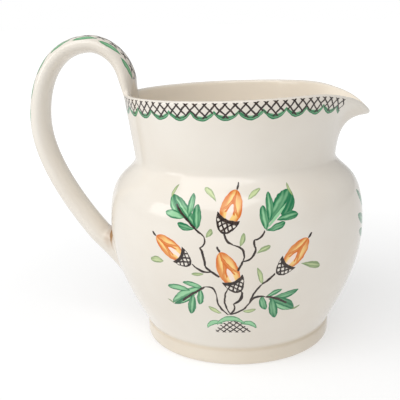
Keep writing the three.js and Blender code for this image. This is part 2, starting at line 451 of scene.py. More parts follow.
def tail_face(height, across):
    """How far behind the axis the tail's outer face stands. Beside the tail it drops away."""
    low_share = 0
    high_share = 1
    for _ in range(HALVINGS):
        share = (low_share + high_share) / 2
        tangent = direction_at(tail_line, share)
        width, thickness = strap_size("tail", share)
        side = abs(across) / (width / 2)
        out = thickness / 2 * (math.sqrt(1 - side * side) if side < 1 else (1 - side) * SIDE_DROP)
        face = tail_line(share) + Vector((-tangent.y, tangent.x)) * out
        if face.y > height:
            low_share = share
        else:
            high_share = share
    return face.x


def soft_maximum(a, b, softness):
    """The greater of two numbers, rounded off where they are nearly equal."""
    half = (a - b) / 2
    return (a + b) / 2 + math.sqrt(half * half + softness * softness / 4)


belly_rows = range(ROWS["underside"] + 4 + ROWS["foot"] + 1, neck_first)
raised = 0
for number in belly_rows:
    fading = smooth_step((HOLE_TOP - profile[number].y) / LIFT_FADE)
    if fading == 0 or profile[number].y < TAIL_END[1] - BELOW_TAIL:
        continue
    for column in range(HANDLE_COLUMN - TAIL_COLUMNS, HANDLE_COLUMN + TAIL_COLUMNS + 1):
        vertex = rows[number][column]
        behind = -vertex.co.x / MM
        face = tail_face(vertex.co.z / MM, vertex.co.y / MM)
        lift = soft_maximum(0, face - behind, FILLET) - soft_maximum(0, -AWAY, FILLET)
        if lift > 0:
            vertex.co.x = -(behind + lift * fading) * MM
            raised += 1
print("tail raised on", raised, "vertices")

# %% [markdown]
# A hole is a window of whole faces behind the handle, so that its edge is a loop of the wall's
# own vertices. The upper window lies over the lip, because the strap rises from the rim itself.
# The lower one lies under the place where the strap's inner face reaches the belly. Both have
# the same number of edges as a ring of the strap.

# %% Open the two holes
RIM_HOLE = {"columns": 12, "rows": 8}
BELLY_HOLE = {"columns": 10, "rows": 10}
RING = 2 * (RIM_HOLE["columns"] + RIM_HOLE["rows"])


def open_hole(bm, first_row, size):
    """Cuts a window in the skin behind the handle. Its edge is returned as a loop that starts at
    the middle of the +Y side and passes the window's first row, the rim's inner side or the
    belly's lower side, a quarter of the way round."""
    half = size["columns"] // 2
    last_row = first_row + size["rows"]
    block = [rows[number][HANDLE_COLUMN - half:HANDLE_COLUMN + half + 1]
             for number in range(first_row, last_row + 1)]
    inner = {v for line in block for v in line}
    faces = [f for f in {f for v in inner for f in v.link_faces} if all(v in inner for v in f.verts)]
    bmesh.ops.delete(bm, geom=faces, context="FACES")
    left = [line[0] for line in block]
    right = [line[-1] for line in block]
    loop = left + block[-1][1:-1] + right[::-1] + block[0][-2:0:-1]
    middle = size["rows"] // 2
    return loop[middle:] + loop[:middle]


def from_hole_top(number):
    """How far a row is from the lower hole's top. Rows above the widest one are out."""
    height = profile[number].y
    return abs(height - HOLE_TOP) if height <= BELLY_HEIGHT else math.inf


lip_middle = neck_first + ROWS["neck_out"] + 1 + LIP_ROWS // 2
rim_loop = open_hole(body, lip_middle - RIM_HOLE["rows"] // 2, RIM_HOLE)
belly_last = min(belly_rows, key=from_hole_top)
belly_loop = open_hole(body, belly_last - BELLY_HOLE["rows"], BELLY_HOLE)
stray = [v for v in body.verts if not v.link_faces]
bmesh.ops.delete(body, geom=stray, context="VERTS")
print("hole edges:", len(rim_loop), len(belly_loop), "of", RING)
for name, loop in (("rim", rim_loop), ("belly", belly_loop)):
    print(name, "hole from height", round(min(v.co.z for v in loop) / MM, 1),
          "to", round(max(v.co.z for v in loop) / MM, 1), "mm")

# %% [markdown]
# A ring is drawn on as an operator would draw it by hand: extrude its edges, then move the new
# ones to the next station. At each end the strands of the ring run on along smooth curves, which
# leave in the strap's direction and arrive in the skin's own, so that no edge shows at the join.
# Three lengths are written on the vertices on the way, for the paint and for the brown in the handle's
# corners, which is painted shade with some gathered glaze.

# %% Draw the strap and flow its ends into the wall
BLEND_RINGS = 5
RIM_FLOW = 0.75           # how far each end keeps its direction, as a share of the gap
BELLY_FLOW = 0.55
POOL_SHADE_FROM = 0.7           # painted shade, with some gathered glaze, lies on the strands whose outward share is below this
POOL_SHADE_SPAN = 1.2           # and over this much of it grows to its full depth
RIM_POOL_SHADE = 0.3            # how deep the painted shade and gathered glaze are in the corner at each end
BELLY_POOL_SHADE = 1
FOLD_ROUNDS = 20          # rounds that even out the fold in the lower corner


def ring_edges(ring):
    """The edges round a closed ring of vertices."""
    edges = []
    for a, b in zip(ring, ring[1:] + ring[:1]):
        edges += [edge for edge in a.link_edges if edge.other_vert(a) is b]
    return edges


def extrude_ring(bm, ring):
    """Extrudes a ring in place and returns the new ring in the same order."""
    made = bmesh.ops.extrude_edge_only(bm, edges=ring_edges(ring))["geom"]
    new = {v for v in made if isinstance(v, bmesh.types.BMVert)}
    return [next(e.other_vert(v) for e in v.link_edges if e.other_vert(v) in new) for v in ring]


def mark_ring(ring, width, travelled):
    """Writes on each vertex how far it is along the strap and round from the outer face's
    middle, in millimetres. The paint on the strap follows these two lengths."""
    for number, vertex in enumerate(ring):
        turn = 2 * math.pi * number / RING
        across = abs(math.cos(turn)) * width / 2
        vertex[strap_mark] = 1
        vertex[along_mark] = travelled
        vertex[across_mark] = across if math.sin(turn) >= -0.001 else width - across


def outward_from_hole(vertex, loop):
    """The direction in which the skin runs on from a hole's edge."""
    inside = set(loop)
    away = Vector()
    for edge in vertex.link_edges:
        other = edge.other_vert(vertex)
        if other not in inside:
            away += (other.co - vertex.co).normalized()
    return away.normalized()


def relax(bm, vertices, times):
    """Evens out a fold by moving each vertex towards its neighbours."""
    for _ in range(times):
        bmesh.ops.smooth_vert(bm, verts=vertices, factor=0.5, use_axis_x=True,
                              use_axis_y=True, use_axis_z=True)


def flow_into_hole(bm, ring, direction, loop, keep, pool_and_shade, way):
    """Leads a ring's strands into a hole's edge on smooth curves, then bridges the last gap.
    Painted shade, with some gathered glaze, darkens the corner under the finger side, and each strand is
    marked with it. Way says whether the length along the strap grows or falls towards the hole."""
    aims = [(v.co.copy(), outward_from_hole(v, loop)) for v in loop]
    starts = [v.co.copy() for v in ring]
    marks = [(v[along_mark], v[across_mark]) for v in ring]
    outward = [math.sin(2 * math.pi * number / RING) for number in range(RING)]
    pool_shades = [pool_and_shade * smooth_step((POOL_SHADE_FROM - share) / POOL_SHADE_SPAN) for share in outward]
    flowing = list(loop)
    for step in range(1, BLEND_RINGS + 1):
        s = step / (BLEND_RINGS + 1)
        ring = extrude_ring(bm, ring)
        flowing += ring
        strands = zip(ring, starts, aims, marks, pool_shades)
        for vertex, start, (aim, away), (along, across), depth in strands:
            gap = (aim - start).length
            vertex[strap_mark] = 1
            vertex[along_mark] = along + way * s * gap / MM
            vertex[across_mark] = across
            # painted shade: how strongly this strand is browned in the corner, with some gathered glaze
            vertex[pool_shade_mark] = depth * 16 * (s * (1 - s)) ** 2
            vertex.co = (start * (1 + 2 * s) * (1 - s) ** 2 + aim * s * s * (3 - 2 * s)
                         + direction * gap * keep * s * (1 - s) ** 2
                         - away * gap * keep * s * s * (1 - s))
    for vertex, start, (along, across) in zip(loop, starts, marks):
        vertex[along_mark] = along + way * (vertex.co - start).length / MM
        vertex[across_mark] = across
    bmesh.ops.bridge_loops(bm, edges=ring_edges(ring) + ring_edges(loop))
    return flowing


circle = bmesh.ops.create_circle(body, segments=RING, radius=1, cap_ends=False)["verts"]
first_ring = sorted(circle, key=lambda v: math.atan2(v.co.y, v.co.x) % (2 * math.pi - 0.001))
bmesh.ops.transform(body, matrix=stations[0], verts=first_ring)
travelled = 0
mark_ring(first_ring, stations[0].col[0].length * 2 / MM, travelled)
ring = first_ring
for before, after in zip(stations, stations[1:]):
    ring = extrude_ring(body, ring)
    bmesh.ops.transform(body, matrix=after @ before.inverted(), verts=ring)
    travelled += (after.translation - before.translation).length / MM
    mark_ring(ring, after.col[0].length * 2 / MM, travelled)
print("strap length between its blends:", round(travelled), "mm")
rise_start = -stations[0].col[2].to_3d().normalized()
back_end = stations[-1].col[2].to_3d().normalized()
flow_into_hole(body, first_ring, rise_start, rim_loop, RIM_FLOW, RIM_POOL_SHADE, -1)
belly_match = [belly_loop[-k % RING] for k in range(RING)]
corner = flow_into_hole(body, ring, back_end, belly_match, BELLY_FLOW, BELLY_POOL_SHADE, 1)
relax(body, corner, FOLD_ROUNDS)
bmesh.ops.recalc_face_normals(body, faces=body.faces)
open_edges = [e for e in body.edges if not e.is_manifold]
print("body and strap:", len(body.faces), "faces,", len(open_edges), "open edges")

# %% [markdown]
# ## Charts for the paint
# A painter works on the round wall as if it were flat: so far round, so far up. Three charts, as
# UV maps in millimetres, do the same for the patterns. "spray" holds the way round and the
# height, counted from the middle of the spray on each side, with the front of the pitcher under
# the spout on a part of its own. "band" holds the way round and the way down from the lip, and
# "strap" the way across and along the handle. Faces without paint are laid off the charts.

# %% Lay the charts
SPRAY_TURN = 85.5         # degrees from the spout to the middle of each spray
SPOUT_PART = 25           # degrees to each side of the spout that have the front sprig
SPRIG_SHIFT = 300         # where the front sprig lies on the spray chart
LIP_ROUNDING = 1.4        # along the lip, from its outer face to halfway up its rounding
OFF_CHART = 900           # a place on every paint chart where nothing is painted
lip_edge = neck_first + ROWS["neck_out"]
down_from_lip = {}
for column in range(COLUMNS):
    length = 0
    down_from_lip[rows[lip_edge + 1][column]] = -LIP_ROUNDING
    for number in range(lip_edge, neck_first - 1, -1):
        vertex = rows[number][column]
        if not vertex.is_valid:
            break
        if number < lip_edge:
            length += (rows[number + 1][column].co - vertex.co).length / MM
        down_from_lip[vertex] = length

counts = {"wall": 0, "strap": 0, "plain": 0}
for face in body.faces:
    centre = face.calc_center_median()
    middle_turn = math.degrees(math.atan2(centre.y, centre.x))
    on_strap = any(v[strap_mark] for v in face.verts)
    outer = not on_strap and all(belly_rows[0] <= v[row_mark] <= lip_edge + 1 for v in face.verts)
    counts["strap" if on_strap else "wall" if outer else "plain"] += 1
    for loop in face.loops:
        vertex = loop.vert
        loop[spray].uv = loop[band].uv = loop[strap].uv = (OFF_CHART, OFF_CHART)
        if on_strap:
            side = 1 if centre.y > 0 else -1
            loop[strap].uv = (vertex[across_mark] * side, vertex[along_mark])
        elif outer:
            turn = math.degrees(math.atan2(vertex.co.y, vertex.co.x))
            turn += 360 * round((middle_turn - turn) / 360)
            height = vertex.co.z / MM
            shift = SPRIG_SHIFT
            if abs(middle_turn) > SPOUT_PART:
                shift = -math.copysign(SPRAY_TURN, middle_turn) * math.radians(1) * BELLY_RADIUS
            loop[spray].uv = (math.radians(turn) * BELLY_RADIUS + shift, height)
            loop[band].uv = (math.radians(turn) * RIM_RADIUS, down_from_lip.get(vertex, OFF_CHART))
print("faces on the charts:", counts)

# %% [markdown]
# ## The piece
# The built shape becomes a mesh, and the mesh an object that stays at the origin, because the
# frame carries each piece by its body. One level of subdivision rounds the facets. The CAD solid
# has the same wall in far fewer faces.

# %% Make the piece
mesh = bpy.data.meshes.new("pitcher_skin")
body.to_mesh(mesh)
body.free()
mesh.shade_smooth()
skin = bpy.data.objects.new("pitcher_skin", mesh)
bpy.context.collection.objects.link(skin)
smooth = skin.modifiers.new("smooth", "SUBSURF")
smooth.levels = 1
smooth.render_levels = 1
print("skin:", len(mesh.polygons), "faces before smoothing")

# %% [markdown]
# ## Small helpers for node trees
# A material is a sum worked out at every point of the surface. These helpers add one step of it
# each and return its result, so that a pattern reads from top to bottom like its recipe. A step
# takes plain numbers or the results of earlier steps.

# %% Node helpers


def join(tree, socket, value):
    """Feeds an input from an earlier result, or sets it to a plain value."""
    if isinstance(value, bpy.types.NodeSocket):
        tree.links.new(value, socket)
    else:
        socket.default_value = value


def calc(tree, operation, *values):
    """One sum. Its result isn't clamped: a long row of clamped sums fills the renderer's memory
    for a material."""
    node = tree.nodes.new("ShaderNodeMath")
    node.operation = operation
    for socket, value in zip(node.inputs, values):
        join(tree, socket, value)
    return node.outputs[0]


def ramp(tree, value, low_end, high_end):
    """A smooth rise from 0 to 1 between two values."""
    node = tree.nodes.new("ShaderNodeMapRange")
    node.interpolation_type = "SMOOTHSTEP"
    node.clamp = False        # a smooth step stays between 0 and 1 by itself
    for name, given in (("Value", value), ("From Min", low_end), ("From Max", high_end)):
        join(tree, node.inputs[name], given)
    return node.outputs["Result"]


def blend(tree, factor, under, over):
    """Lays one colour over another."""
    node = tree.nodes.new("ShaderNodeMix")
    node.data_type = "RGBA"
    for number, value in ((0, factor), (6, under), (7, over)):
        join(tree, node.inputs[number], value)
    return node.outputs[2]


def blend_value(tree, factor, under, over):
    """Goes from one number to another."""
    node = tree.nodes.new("ShaderNodeMix")
    for number, value in ((0, factor), (2, under), (3, over)):
        join(tree, node.inputs[number], value)
    return node.outputs[0]


def part(tree, vector, direction):
    """How far a vector reaches in one direction."""
    node = tree.nodes.new("ShaderNodeVectorMath")
    node.operation = "DOT_PRODUCT"
    join(tree, node.inputs[0], vector)
    node.inputs[1].default_value = direction
    return node.outputs["Value"]


RULER = ("Along Round", "Along Up", "Along Zero", "Across Round", "Across Up", "Across Zero")


def ruler(start, run, length, width):
    """The six numbers of a straight ruler on a chart. It begins at a start and points along a
    run, and counts along it in one length and across it in another."""
    start = Vector(start)
    along = Vector(run).normalized() / length
    across = Vector((-run[1], run[0])).normalized() / width
    numbers = (*along, -along.dot(start), *across, -across.dot(start))
    return dict(zip(RULER, numbers))


def read_ruler(tree, given):
    """The lengths along and across a ruler at a place on the chart."""
    results = []
    for way in ("Along", "Across"):
        up = calc(tree, "MULTIPLY_ADD", given["Up"], given[way + " Up"], given[way + " Zero"])
        results.append(calc(tree, "MULTIPLY_ADD", given["Round"], given[way + " Round"], up))
    return results


def noise(tree, place, scale, detail=2.0):
    """A cloudy value, finer with a greater scale."""
    node = tree.nodes.new("ShaderNodeTexNoise")
    join(tree, node.inputs["Vector"], place)
    node.inputs["Scale"].default_value = scale
    node.inputs["Detail"].default_value = detail
    return node.outputs["Fac"]


def chart(tree, name):
    """A place on one of the paint charts."""
    node = tree.nodes.new("ShaderNodeUVMap")
    node.uv_map = name
    return node.outputs[0]


def colour(red, green, blue):
    """A colour given as it looks on screen, 0 to 255, turned into Blender's linear light."""
    values = []
    for value in (red, green, blue):
        value /= 255
        values.append(value / 12.92 if value < 0.04045 else ((value + 0.055) / 1.055) ** 2.4)
    return (*values, 1)


def new_group(name, inputs, outputs):
    """A node group with named sockets, given as (name, kind) pairs."""
    group = bpy.data.node_groups.new(name, "ShaderNodeTree")
    for label, kind in inputs:
        group.interface.new_socket(label, in_out="INPUT", socket_type="NodeSocket" + kind)
    for label, kind in outputs:
        group.interface.new_socket(label, in_out="OUTPUT", socket_type="NodeSocket" + kind)
    given = group.nodes.new("NodeGroupInput").outputs
    result = group.nodes.new("NodeGroupOutput").inputs
    return group, given, result


def place_group(tree, group, values):
    """Places a group with its own values and returns what it puts out."""
    node = tree.nodes.new("ShaderNodeGroup")
    node.node_tree = group
    for name, value in values.items():
        join(tree, node.inputs[name], value)
    return node.outputs


sample = ruler((0, 0), (1, 0), 10, 2)
print("a level ruler, 10 long:", {name: round(number, 2) for name, number in sample.items()})

# %% [markdown]
# ## The brush stroke
# Everything painted on this pitcher is made of strokes of a loaded round brush: it lands, widens
# as it is pressed, and leaves in a point. One node group holds that stroke. It reads the stroke's
# own ruler, from 0 where the brush lands to 1 where it leaves, and works out how wide the stroke
# is there. It then lays its cover and its tone over those of the strokes before it. The same
# group, placed with other starts, sizes and bows, makes leaves, nuts and twigs.

# %% Brush stroke group
HAIRS = 8                 # how fine the brush's hairs streak the paint, across a stroke
HAIR_DEPTH = 0.17         # how much lighter and darker they make it
RUNNING_DRY = 0.45        # how much a stroke darkens from where it lands to where it leaves
SOFT_EDGE = 0.22          # of a stroke's edge, where the paint bleeds into the glaze


def stroke_group():
    """Full strokes have a fullness near 0 and lens-shaped ones near 1. A lean above 1 moves the
    widest place towards the end."""
    names = ("Cover", "Tone", "Round", "Up", *RULER, "Bow", "Fullness", "Lean", "Soft Edge", "Light")
    group, given, result = new_group(
        "brush stroke",
        [(name, "Float") for name in names],
        [("Cover", "Float"), ("Tone", "Float")],
    )
    along, across = read_ruler(group, given)
    arch = calc(group, "MULTIPLY", along, calc(group, "SUBTRACT", along, 1.0))
    off_middle = calc(group, "ABSOLUTE", calc(group, "MULTIPLY_ADD", arch, given["Bow"], across))
    leaned = calc(group, "POWER", along, given["Lean"])
    bulge = calc(group, "MULTIPLY", leaned, calc(group, "SUBTRACT", 1.0, leaned))
    half_width = calc(group, "POWER", calc(group, "MULTIPLY", bulge, 4.0), given["Fullness"])
    depth = calc(group, "SUBTRACT", half_width, off_middle)
    cover = ramp(group, depth, 0.0, given["Soft Edge"])
    fading = calc(group, "MULTIPLY_ADD", along, -RUNNING_DRY, given["Light"])
    wave = calc(group, "SINE", calc(group, "MULTIPLY", across, HAIRS))
    hairs = calc(group, "MULTIPLY", wave, HAIR_DEPTH)
    tone = ramp(group, calc(group, "MULTIPLY_ADD", depth, fading, hairs), 0.0, 1.0)
    join(group, result["Tone"], blend_value(group, cover, given["Tone"], tone))
    join(group, result["Cover"], calc(group, "MAXIMUM", cover, given["Cover"]))
    return group


brush_stroke = stroke_group()
print("brush stroke:", len(brush_stroke.nodes), "nodes")

# %% Strokes by hand
TWIG_PRESS = 1.3          # a twig's strokes are pressed a little wider than its named width
TWIG_FULLNESS = 0.12
TWIG_LIGHT = 0.4


def stroke(start, end, half_width, bow=0, fullness=0.6, lean=1.0, light=1.0):
    """One stroke of the brush in chart millimetres. Bow is how far it swings to its left."""
    return {"start": start, "end": end, "half_width": half_width, "bow": bow,
            "fullness": fullness, "lean": lean, "light": light}


def paint(tree, place, strokes):
    """Lays strokes over each other and returns where they cover and how light they are."""
    cover, tone = 0.0, 0.0
    for s in strokes:
        run = Vector(s["end"]) - Vector(s["start"])
        cover, tone = place_group(tree, brush_stroke, {
            "Cover": cover,
            "Tone": tone,
            **place,
            **ruler(s["start"], run, run.length, s["half_width"]),
            "Bow": 4 * s["bow"] / s["half_width"],
            "Fullness": s["fullness"],
            "Lean": s["lean"],
            "Soft Edge": SOFT_EDGE / s["half_width"],
            "Light": s["light"],
        })
    return cover, tone


def twig(half_width, *places):
    """A twig as bowed strokes: each pair of places after the first is a middle and an end."""
    strokes = []
    start = Vector(places[0])
    for middle, end in zip(places[1::2], places[2::2]):
        run = Vector(end) - start
        to_left = Vector((-run.y, run.x)).normalized()
        off = (Vector(middle) - (start + Vector(end)) / 2).dot(to_left)
        strokes.append(stroke(tuple(start), end, half_width * TWIG_PRESS, off,
                              fullness=TWIG_FULLNESS, light=TWIG_LIGHT))
        start = Vector(end)
    return strokes


bent = twig(0.5, (0, 0), (1, 5), (0, 10))[0]
print("a twig that is 1 off its straight line has a bow of", round(bent["bow"], 2))

# %% [markdown]
# ## The spray
# The spray grows from a small mound: crooked dark twigs carry four acorns and four oak leaves,
# with small leaflets between. Each oak leaf is a handful of pressed lobes round a dark midrib,
# some loaded with more pigment than others. Places are (round, up) in millimetres, counted from
# the middle of the spray and from the table.

# %% Strokes of the spray
OAK_LEAVES = [
    # upper left
    stroke((-20.5, 85.0), (-37.0, 99.6), 2.2, bow=-2.2, light=0.9),
    stroke((-25.0, 88.2), (-37.2, 99.6), 1.5, bow=-0.2, light=0.5),
    stroke((-29.5, 91.0), (-37.2, 99.4), 1.5, bow=1.4, light=1.2),
    stroke((-27.0, 89.4), (-38.5, 91.4), 2.2, bow=-0.3, lean=1.2, light=1.6),
    stroke((-22.6, 88.4), (-34.4, 98.6), 0.55, bow=-0.5, light=4),
    stroke((-20.6, 84.6), (-30.6, 86.6), 1.9, bow=0.9, lean=1.5, light=0.8),
    stroke((-24.4, 89.8), (-23.8, 101.0), 2.1, bow=-0.2, lean=1.25, light=1.1),
    stroke((-19.4, 84.6), (-20.2, 96.5), 2.6, bow=0.2, lean=1.1, light=1.0),
    # upper right
    stroke((15.8, 85.0), (33.4, 101.2), 2.9, bow=2.2, lean=1.6, light=0.9),
    stroke((24.5, 90.5), (33.9, 101.0), 2.3, bow=-1.9, light=0.4),
    stroke((16.4, 83.6), (15.0, 95.6), 2.4, bow=0.3, lean=1.15, light=1.1),
    stroke((18.6, 88.4), (19.8, 101.4), 2.2, bow=0.3, lean=1.2, light=1.0),
    stroke((21.8, 88.0), (34.5, 90.1), 2.3, bow=0.4, lean=1.5, light=0.9),
    stroke((16.6, 84.6), (28.4, 95.4), 0.9, bow=0.3, light=4),
    stroke((15.9, 83.4), (26.5, 86.7), 1.9, bow=-0.5, lean=1.5, light=0.9),
    # lower left
    stroke((-18.5, 52.4), (-38.4, 40.2), 2.1, bow=-1.6, light=1.7),
    stroke((-21.5, 49.6), (-37.8, 39.4), 1.6, bow=0.9, light=0.4),
    stroke((-21.0, 49.4), (-33.0, 41.0), 0.55, bow=0.3, light=4),
    stroke((-25.0, 50.2), (-39.0, 50.8), 2.0, bow=-0.4, lean=1.2, light=1.3),
    stroke((-18.2, 52.6), (-29.0, 54.6), 1.6, bow=-0.4, light=1.2),
    stroke((-23.6, 48.4), (-27.9, 34.6), 2.5, bow=0.3, lean=1.25, light=1.0),
    stroke((-19.0, 52.0), (-20.9, 41.6), 2.0, bow=0.3, lean=1.2, light=1.1),
    # lower right
    stroke((16.4, 46.6), (25.4, 50.4), 1.5, bow=0.3, light=1.0),
    stroke((19.4, 45.6), (35.2, 48.6), 2.1, bow=-0.7, lean=1.25, light=0.9),
    stroke((17.8, 45.4), (34.8, 36.2), 2.9, bow=1.5, lean=1.3, light=0.6),
    stroke((20.0, 44.2), (34.0, 36.4), 1.4, bow=-1.6, light=1.3),
    stroke((13.8, 47.6), (17.0, 38.4), 2.1, bow=-0.6, lean=1.15, light=1.0),
    stroke((19.4, 46.4), (23.4, 32.2), 2.7, bow=-0.3, lean=1.3, light=0.9),
]

LEAFLETS = [
    stroke((-9.6, 97.4), (-18.2, 103.4), 1.4, bow=-0.7, lean=1.6, light=1.5),
    stroke((-15.0, 80.3), (-11.9, 84.8), 1.5, bow=-0.5, lean=1.4),
    stroke((-39.4, 65.4), (-48.2, 64.8), 1.9, bow=-0.2, lean=1.2, light=1.2),
    stroke((7.5, 98.4), (15.6, 102.8), 1.2, bow=0.4, light=1.6),
    stroke((2.3, 75.9), (4.6, 82.9), 1.4, bow=-0.5, lean=1.3),
    stroke((10.7, 72.0), (18.2, 75.4), 1.5, bow=0.3, lean=1.5),
    stroke((34.4, 64.0), (47.6, 60.2), 2.1, bow=0.2, lean=1.9, light=0.9),
    stroke((-16.6, 60.9), (-23.4, 60.1), 1.1, bow=0.2, light=0.9),
    stroke((-8.6, 36.8), (-15.8, 41.2), 1.4, bow=0.5, light=1.4),
    stroke((13.8, 54.8), (11.4, 64.4), 1.4, bow=-0.2, light=1.2),
    stroke((3.7, 38.2), (11.3, 39.3), 1.3, bow=-0.5, light=1.2),
    stroke((-37.0, 98.4), (-35.9, 104.0), 1.1, bow=0.8),
    stroke((33.8, 98.4), (33.7, 104.2), 1.0, bow=0.6),
    stroke((-37.6, 39.3), (-41.6, 42.0), 0.6, bow=-0.3, light=0.3),
    stroke((33.2, 36.3), (38.6, 37.9), 0.8, bow=-0.4, light=0.5),
]

TWIGS = [
    *twig(0.55, (-4.0, 36.2), (3.2, 39.0), (7.4, 43.4), (9.3, 48.6), (13.6, 54.6),
          (17.0, 57.0), (20.8, 60.2)),
    *twig(0.6, (7.0, 42.6), (10.4, 46.9), (16.0, 47.0), (22.0, 45.2), (29.0, 41.2)),
    *twig(0.5, (-4.3, 36.3), (-1.4, 38.8), (-1.4, 43.0)),
    *twig(0.7, (-1.6, 43.0), (2.4, 46.0), (3.0, 51.2)),
    *twig(0.5, (-3.8, 37.0), (-6.3, 45.6), (-4.2, 52.6)),
    *twig(0.5, (-4.6, 35.8), (-9.2, 41.0), (-10.6, 48.0), (-12.2, 52.4), (-16.8, 53.0)),
    *twig(0.6, (-16.6, 53.1), (-23.0, 49.0), (-31.0, 42.8)),
    *twig(0.6, (-8.2, 59.4), (-12.0, 61.8), (-15.6, 65.2), (-16.4, 70.4), (-18.0, 75.0)),
    *twig(0.45, (-18.0, 74.8), (-15.4, 78.2), (-16.4, 81.4)),
    *twig(0.55, (-16.2, 81.0), (-22.0, 85.8), (-32.8, 95.6)),
    *twig(0.5, (-12.2, 62.0), (-18.4, 62.6), (-22.6, 65.8)),
    *twig(0.55, (1.2, 62.8), (2.6, 65.4), (3.9, 68.2), (4.0, 73.6), (-1.0, 76.8),
          (-4.4, 79.6), (-5.4, 82.8)),
    *twig(0.55, (3.8, 68.0), (9.0, 70.6), (10.6, 75.4)),
    *twig(0.5, (10.7, 74.6), (9.6, 77.0), (10.0, 79.0), (13.4, 80.4), (15.4, 83.4)),
]
print("strokes of leaves, leaflets and twigs:", len(OAK_LEAVES), len(LEAFLETS), len(TWIGS))

# %% [markdown]
# ## The acorns
# A nut is laid in one wide pale stroke, and four thin deep ones over it, which meet at the tip and
# part towards the cup, where a wedge of bare glaze is left. All four nuts are painted the same
# way, so a nut is worked out from its tip, the middle of its cup's mouth and the mouth's width.

# %% Acorns
ACORNS = [
    # tip of the nut, middle of the cup's mouth, half the mouth's width
    ((-43.6, 78.4), (-31.0, 70.4), 5.3),
    ((1.6, 102.6), (-3.0, 91.2), 6.3),
    ((-7.9, 72.8), (-1.9, 58.8), 5.9),
    ((39.4, 77.0), (28.4, 66.0), 5.3),
]
STYLE_LENGTH = 3.4
STYLE_HALF = 0.7
IN_CUP = 4                # how far inside the cup the wide stroke of a nut lands
NUT_HALF = 0.93           # its half width, and all below, as a share of the mouth's half width
INNER_OFF = 0.42          # how far from the nut's axis the deep strokes land, and how wide they are
INNER_HALF = 0.17
OUTER_OFF = 0.86
OUTER_HALF = 0.13


def nut_strokes(tip, mouth, half_width):
    """A nut: one wide pale stroke, and deep strokes on it that part towards the cup."""
    axis = (Vector(tip) - Vector(mouth)).normalized()
    side = Vector((-axis.y, axis.x))
    strokes = [stroke(tuple(Vector(mouth) - axis * IN_CUP), tip, half_width * NUT_HALF,
                      fullness=0.55, lean=0.85, light=1.8)]
    for way in (1, -1):
        base = Vector(mouth) + side * half_width * INNER_OFF * way + axis
        strokes.append(stroke(tuple(base), tuple(Vector(tip) - axis * 1.5), half_width * INNER_HALF,
                              bow=-way * half_width * 0.16, fullness=0.4, lean=1.1, light=0.2))
        base = Vector(mouth) + side * half_width * OUTER_OFF * way + axis
        strokes.append(stroke(tuple(base), tip, half_width * OUTER_HALF, bow=-way * half_width * 0.3,
                              fullness=0.3, light=0.5))
    return strokes


def gap_stroke(tip, mouth, half_width):
    """The bare wedge at the foot of a nut."""
    axis = (Vector(tip) - Vector(mouth)).normalized()
    start = Vector(mouth) - axis * 3
    end = Vector(mouth) + axis * 6
    return stroke(tuple(start), tuple(end), half_width * 0.26, fullness=0.6, lean=0.9)


def style_stroke(tip, mouth):
    """The short dry thread at a nut's tip."""
    axis = (Vector(tip) - Vector(mouth)).normalized()
    end = Vector(tip) + axis * STYLE_LENGTH
    return stroke(tip, tuple(end), STYLE_HALF, fullness=0.3, light=0.3)


NUTS = [s for acorn in ACORNS for s in nut_strokes(*acorn)]
NUT_GAPS = [gap_stroke(*acorn) for acorn in ACORNS]
STYLES = [style_stroke(tip, mouth) for tip, mouth, _ in ACORNS]
print("strokes of the acorns:", len(NUTS) + len(NUT_GAPS) + len(STYLES))

# %% [markdown]
# An acorn's cup is a small bowl hatched with crossing lines that leave white lozenges. The bowl's
# ruler runs across its mouth and away from the nut. The mouth and the bowl are two arcs, and
# the hatching is the remainder of the way along each diagonal, folded to a distance from the
# nearest line.

# %% Line work groups
CUP_DEPTH = 9.4


def hatching(tree, across, up, spacing, lean, half_line):
    """Two families of slanted lines: 1 on a line, 0 between the lines."""
    lines = 0.0
    for way in (lean, -lean):
        slanted = calc(tree, "MULTIPLY_ADD", up, way, across)
        fold = calc(tree, "PINGPONG", slanted, spacing / 2)
        line = ramp(tree, fold, half_line + 0.16, half_line - 0.06)
        lines = calc(tree, "MAXIMUM", lines, line)
    return lines


def cup_group():
    group, given, result = new_group(
        "acorn cup",
        [(name, "Float") for name in ("Lines", "Inside", "Round", "Up", *RULER, "Half Width")],
        [("Lines", "Float"), ("Inside", "Float")],
    )
    away, across = read_ruler(group, given)
    share = calc(group, "DIVIDE", across, given["Half Width"])
    squared = calc(group, "MULTIPLY", share, share)
    rest = calc(group, "MAXIMUM", calc(group, "SUBTRACT", 1.0, squared), 0.0)
    bowl = calc(group, "MULTIPLY", calc(group, "POWER", rest, 0.6), CUP_DEPTH)
    mouth = calc(group, "MULTIPLY", rest, 1.7)
    from_mouth = calc(group, "SUBTRACT", away, mouth)
    from_bowl = calc(group, "SUBTRACT", bowl, away)
    from_edge = calc(group, "MINIMUM", from_mouth, from_bowl)
    inside = ramp(group, from_edge, 0.0, 0.25)
    rim_shade = ramp(group, from_mouth, 2.6, 1.7)
    outline = ramp(group, from_bowl, 1.5, 1.1)
    edge = calc(group, "MAXIMUM", rim_shade, outline)
    lines = hatching(group, across, away, 2.8, 0.8, 0.5)
    drawn = calc(group, "MAXIMUM", edge, lines)
    cup = calc(group, "MULTIPLY", drawn, inside)
    join(group, result["Lines"], calc(group, "MAXIMUM", cup, given["Lines"]))
    join(group, result["Inside"], calc(group, "MAXIMUM", inside, given["Inside"]))
    return group


acorn_cup = cup_group()
print("acorn cup:", len(acorn_cup.nodes), "nodes")

# %% [markdown]
# ## Border, mound and handle
# Patterns that repeat need no list of strokes. Folding the way round the rim into one pitch
# turns a single scallop into a whole border, and the trellis is the same hatching as in the
# cups. The border stops short of the spout, as the painter left that part bare for the drink.

# %% Repeating patterns
SCALLOP_PITCH = 12.6
SCALLOP_TOP = 3.6         # below the lip, where two scallops meet
SCALLOP_DROP = 3.4
SCALLOP_HALF = 1.1
TRELLIS_TOP = -1.1
TRELLIS_SPACING = 5.2
BARE_SPOUT = 21           # degrees to each side of the spout without border


